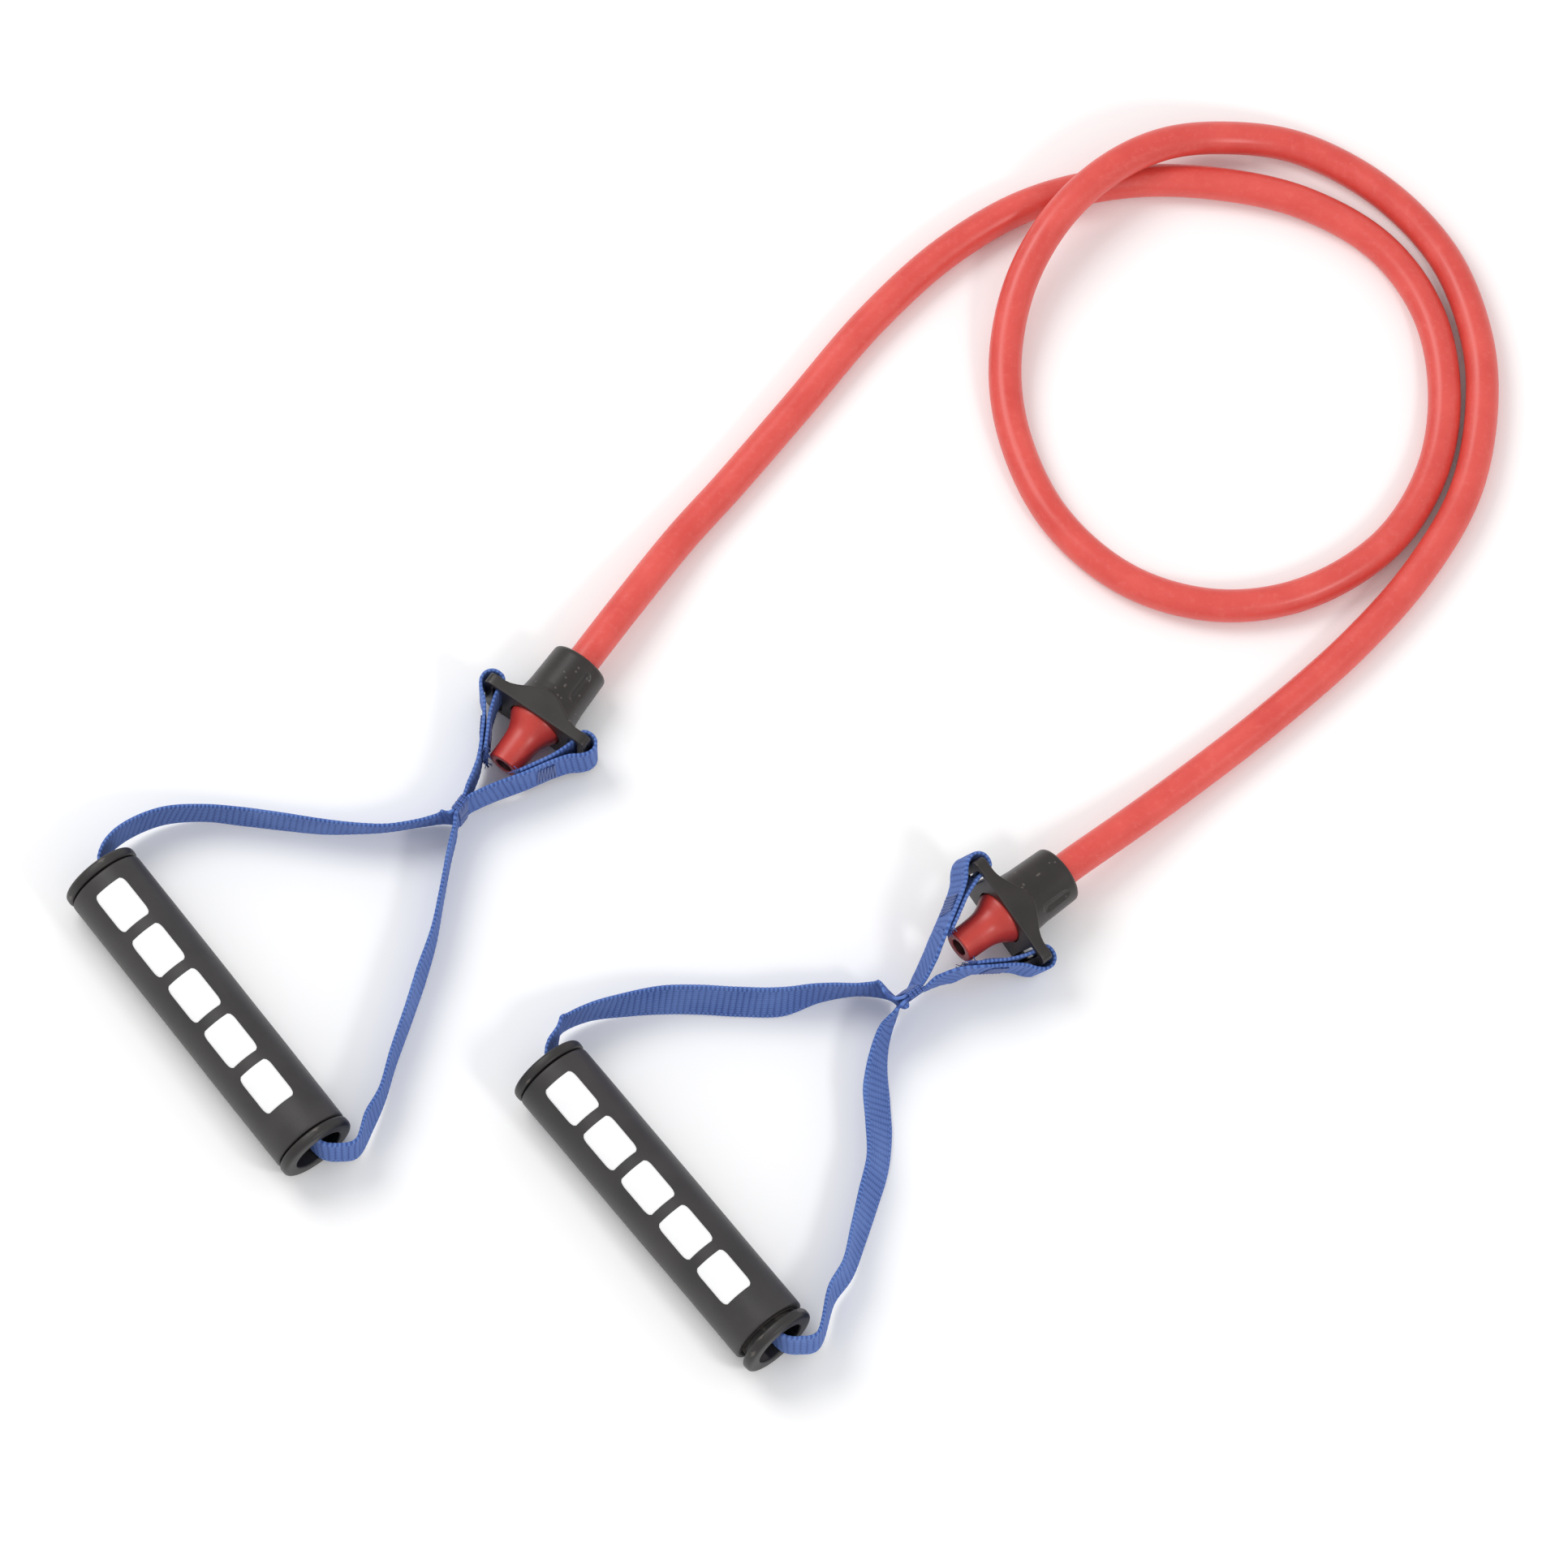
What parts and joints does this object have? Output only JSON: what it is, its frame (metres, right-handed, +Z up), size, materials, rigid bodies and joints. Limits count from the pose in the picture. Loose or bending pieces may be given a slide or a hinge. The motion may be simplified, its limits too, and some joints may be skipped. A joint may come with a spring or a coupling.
{
  "type": "tubular resistance band",
  "caption": "Rubber exercise tube lying in an open loop, with a swivelling yoke, a folded webbing sling and a hollow spinning grip at each end.",
  "frame": {"origin": "On the surface that the band lies on, under the middle of the box round its two ends, which is everything but the free tube.", "axes": "+Z up from that surface. +X to the right and +Y away, for a viewer who has both grips in front and the tube's loop at the back right."},
  "size_m": [0.5381, 0.4991, 0.0384],
  "materials": {
    "tube_rubber": "satin",
    "tube_end_rubber": "gloss",
    "stopper_plastic": "satin",
    "yoke_plastic": "satin",
    "webbing": "woven",
    "stitching": "matte",
    "grip_foam": "matte",
    "cap_plastic": "satin",
    "core_plastic": "satin"
  },
  "bodies": {
    "tube": {"tube": "tube_rubber", "tube_end_a": "tube_end_rubber", "tube_end_b": "tube_end_rubber", "stopper_a": "stopper_plastic", "stopper_b": "stopper_plastic"},
    "yoke_a": {"yoke_a": "yoke_plastic"},
    "strap_a": {"yoke_strap_a_left": "webbing", "yoke_strap_a_right": "webbing", "bar_loop_a_left": "webbing", "bar_loop_a_right": "webbing", "bar_tack_a_left": "stitching", "bar_tack_a_right": "stitching", "cross_tack_a": "stitching"},
    "sling_a": {"sling_a": "webbing"},
    "grip_a": {"core_tube_a": "core_plastic", "grip_sleeve_a": "grip_foam", "end_cap_a_upper": "cap_plastic", "end_cap_a_lower": "cap_plastic"},
    "yoke_b": {"yoke_b": "yoke_plastic"},
    "strap_b": {"yoke_strap_b_left": "webbing", "yoke_strap_b_right": "webbing", "bar_loop_b_left": "webbing", "bar_loop_b_right": "webbing", "bar_tack_b_left": "stitching", "bar_tack_b_right": "stitching", "cross_tack_b": "stitching"},
    "sling_b": {"sling_b": "webbing"},
    "grip_b": {"core_tube_b": "core_plastic", "grip_sleeve_b": "grip_foam", "end_cap_b_upper": "cap_plastic", "end_cap_b_lower": "cap_plastic"}
  },
  "joints": [
    {"name": "yoke_a_swivel", "type": "hinge", "parent": "tube", "child": "yoke_a", "pos_m": [-0.0166, 0.1109, 0.013], "axis": [-0.5807, -0.8141, 0], "range_deg": [-120, 120]},
    {"name": "strap_a_fold", "type": "hinge", "parent": "yoke_a", "child": "strap_a", "pos_m": [-0.01532, 0.11269, 0.013], "axis": [0.8141, -0.5807, 0], "range_deg": [-75, 75], "deforming": ["bar_loop_a_left", "bar_loop_a_right"]},
    {"name": "sling_a_swing", "type": "hinge", "parent": "strap_a", "child": "sling_a", "pos_m": [-0.04501, 0.07589, 0.0115], "axis": [0, 0, 1], "range_deg": [-20, 20]},
    {"name": "grip_a_spin", "type": "hinge", "parent": "sling_a", "child": "grip_a", "pos_m": [-0.138, -0.004, 0.0155], "axis": [0.6046, -0.7965, 0], "continuous": true},
    {"name": "yoke_b_swivel", "type": "hinge", "parent": "tube", "child": "yoke_b", "pos_m": [0.1574, 0.0318, 0.0192], "axis": [-0.7595, -0.6373, 0.1305], "range_deg": [-120, 120]},
    {"name": "strap_b_fold", "type": "hinge", "parent": "yoke_b", "child": "strap_b", "pos_m": [0.15907, 0.0332, 0.01891], "axis": [0.5725, -0.7501, -0.331], "range_deg": [-75, 75], "deforming": ["bar_loop_b_left", "bar_loop_b_right"]},
    {"name": "sling_b_swing", "type": "hinge", "parent": "strap_b", "child": "sling_b", "pos_m": [0.12225, 0.00207, 0.01428], "axis": [0.3088, -0.1766, 0.9346], "range_deg": [-20, 6]},
    {"name": "grip_b_spin", "type": "hinge", "parent": "sling_b", "child": "grip_b", "pos_m": [0.0312, -0.0796, 0.0155], "axis": [0.6266, -0.7793, 0], "continuous": true}
  ]
}
